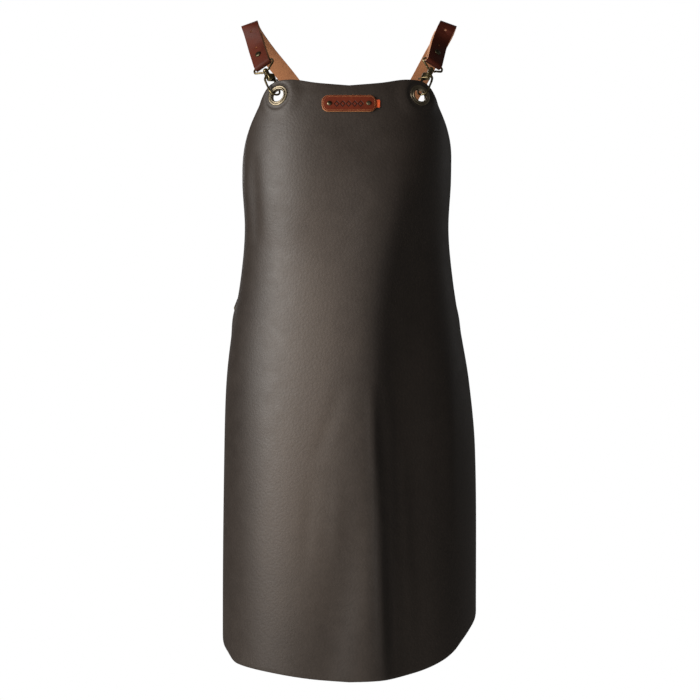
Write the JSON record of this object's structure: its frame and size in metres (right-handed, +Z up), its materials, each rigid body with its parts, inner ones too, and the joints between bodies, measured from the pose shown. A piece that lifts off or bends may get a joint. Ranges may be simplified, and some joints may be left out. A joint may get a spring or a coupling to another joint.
{
  "type": "welding apron",
  "caption": "Long one-piece leather bib apron held by cross-back leather shoulder straps that clip through metal eyelets with swivel snaps.",
  "frame": {"origin": "midway between the two places where the straps rest on the wearer's shoulders", "axes": "+Z up, -Y out of the bib's front, +X to the viewer's right when the apron is seen from the front"},
  "size_m": [0.3674, 0.2405, 0.9391],
  "materials": {
    "apron_leather": "waxed full-grain, charcoal brown",
    "strap_leather": "chestnut bridle leather with a tan flesh side",
    "antique_brass": "antique, rubbed bright on edges",
    "tag_weave": "woven"
  },
  "bodies": {
    "apron": {"apron_panel": "apron_leather", "eyelet_chest_left": "antique_brass", "eyelet_chest_right": "antique_brass", "eyelet_waist_left": "antique_brass", "eyelet_waist_right": "antique_brass", "eyelet_washer_chest_left": "antique_brass", "eyelet_washer_chest_right": "antique_brass", "eyelet_washer_waist_left": "antique_brass", "eyelet_washer_waist_right": "antique_brass", "badge_patch": "strap_leather", "badge_tag": "tag_weave", "badge_rivet_left": "antique_brass", "badge_rivet_cap_left": "antique_brass", "badge_rivet_right": "antique_brass", "badge_rivet_cap_right": "antique_brass", "strap_left": "strap_leather", "strap_right": "strap_leather", "stud_front_left": "antique_brass", "stud_front_right": "antique_brass", "stud_rear_left": "antique_brass", "stud_rear_right": "antique_brass", "stud_cap_front_left": "antique_brass", "stud_cap_front_right": "antique_brass", "stud_cap_rear_left": "antique_brass", "stud_cap_rear_right": "antique_brass"},
    "loop_chest_left": {"snap_loop_chest_left": "antique_brass"},
    "hook_chest_left": {"snap_hook_chest_left": "antique_brass", "snap_gate_pin_chest_left": "antique_brass", "snap_gate_spring_chest_left": "antique_brass"},
    "gate_chest_left": {"snap_gate_chest_left": "antique_brass"},
    "loop_chest_right": {"snap_loop_chest_right": "antique_brass"},
    "hook_chest_right": {"snap_hook_chest_right": "antique_brass", "snap_gate_pin_chest_right": "antique_brass", "snap_gate_spring_chest_right": "antique_brass"},
    "gate_chest_right": {"snap_gate_chest_right": "antique_brass"},
    "loop_waist_left": {"snap_loop_waist_left": "antique_brass"},
    "hook_waist_left": {"snap_hook_waist_left": "antique_brass", "snap_gate_pin_waist_left": "antique_brass", "snap_gate_spring_waist_left": "antique_brass"},
    "gate_waist_left": {"snap_gate_waist_left": "antique_brass"},
    "loop_waist_right": {"snap_loop_waist_right": "antique_brass"},
    "hook_waist_right": {"snap_hook_waist_right": "antique_brass", "snap_gate_pin_waist_right": "antique_brass", "snap_gate_spring_waist_right": "antique_brass"},
    "gate_waist_right": {"snap_gate_waist_right": "antique_brass"}
  },
  "joints": [
    {"name": "loop_pivot_chest_left", "type": "hinge", "parent": "apron", "child": "loop_chest_left", "pos_m": [-0.12319, -0.05014, -0.06113], "axis": [0.8089, -0.2745, 0.5199], "range_deg": [-1, 1]},
    {"name": "swivel_chest_left", "type": "hinge", "parent": "loop_chest_left", "child": "hook_chest_left", "pos_m": [-0.12319, -0.05014, -0.06113], "axis": [-0.3493, 0.4869, 0.8006], "range_deg": [-4, 12]},
    {"name": "gate_chest_left", "type": "hinge", "parent": "hook_chest_left", "child": "gate_chest_left", "pos_m": [-0.10865, -0.05942, -0.08212], "axis": [-0.4354, 0.6722, -0.5988], "range_deg": [0, 7], "stiffness_Nm_per_rad": 0.05, "springref_deg": -20.05},
    {"name": "loop_pivot_chest_right", "type": "hinge", "parent": "apron", "child": "loop_chest_right", "pos_m": [0.12061, -0.05131, -0.05906], "axis": [0.8205, 0.3113, -0.4795], "range_deg": [-1, 1]},
    {"name": "swivel_chest_right", "type": "hinge", "parent": "loop_chest_right", "child": "hook_chest_right", "pos_m": [0.12061, -0.05131, -0.05906], "axis": [0.3097, 0.4629, 0.8305], "range_deg": [-12, 4]},
    {"name": "gate_chest_right", "type": "hinge", "parent": "hook_chest_right", "child": "gate_chest_right", "pos_m": [0.10705, -0.06009, -0.08089], "axis": [-0.4411, -0.7038, 0.5568], "range_deg": [0, 7], "stiffness_Nm_per_rad": 0.05, "springref_deg": -20.05},
    {"name": "loop_pivot_waist_left", "type": "hinge", "parent": "apron", "child": "loop_waist_left", "pos_m": [-0.14426, 0.04884, -0.37176], "axis": [-0.0277, -0.777, 0.6289], "range_deg": [-1, 1]},
    {"name": "swivel_waist_left", "type": "hinge", "parent": "loop_waist_left", "child": "hook_waist_left", "pos_m": [-0.14426, 0.04884, -0.37176], "axis": [0.2875, 0.5963, 0.7495], "range_deg": [-15, 12]},
    {"name": "gate_waist_left", "type": "hinge", "parent": "hook_waist_left", "child": "gate_waist_left", "pos_m": [-0.14603, 0.03359, -0.39416], "axis": [-0.3014, 0.7991, -0.5202], "range_deg": [0, 9], "stiffness_Nm_per_rad": 0.05, "springref_deg": -20.05},
    {"name": "loop_pivot_waist_right", "type": "hinge", "parent": "apron", "child": "loop_waist_right", "pos_m": [0.13207, 0.05315, -0.3717], "axis": [-0.0735, 0.7733, -0.6297], "range_deg": [-1, 1]},
    {"name": "swivel_waist_right", "type": "hinge", "parent": "loop_waist_right", "child": "hook_waist_right", "pos_m": [0.13207, 0.05315, -0.3717], "axis": [-0.3147, 0.5812, 0.7505], "range_deg": [-12, 15]},
    {"name": "gate_waist_right", "type": "hinge", "parent": "hook_waist_right", "child": "gate_waist_right", "pos_m": [0.13452, 0.03798, -0.39409], "axis": [-0.2546, -0.8133, 0.5231], "range_deg": [0, 9], "stiffness_Nm_per_rad": 0.05, "springref_deg": -20.05}
  ]
}
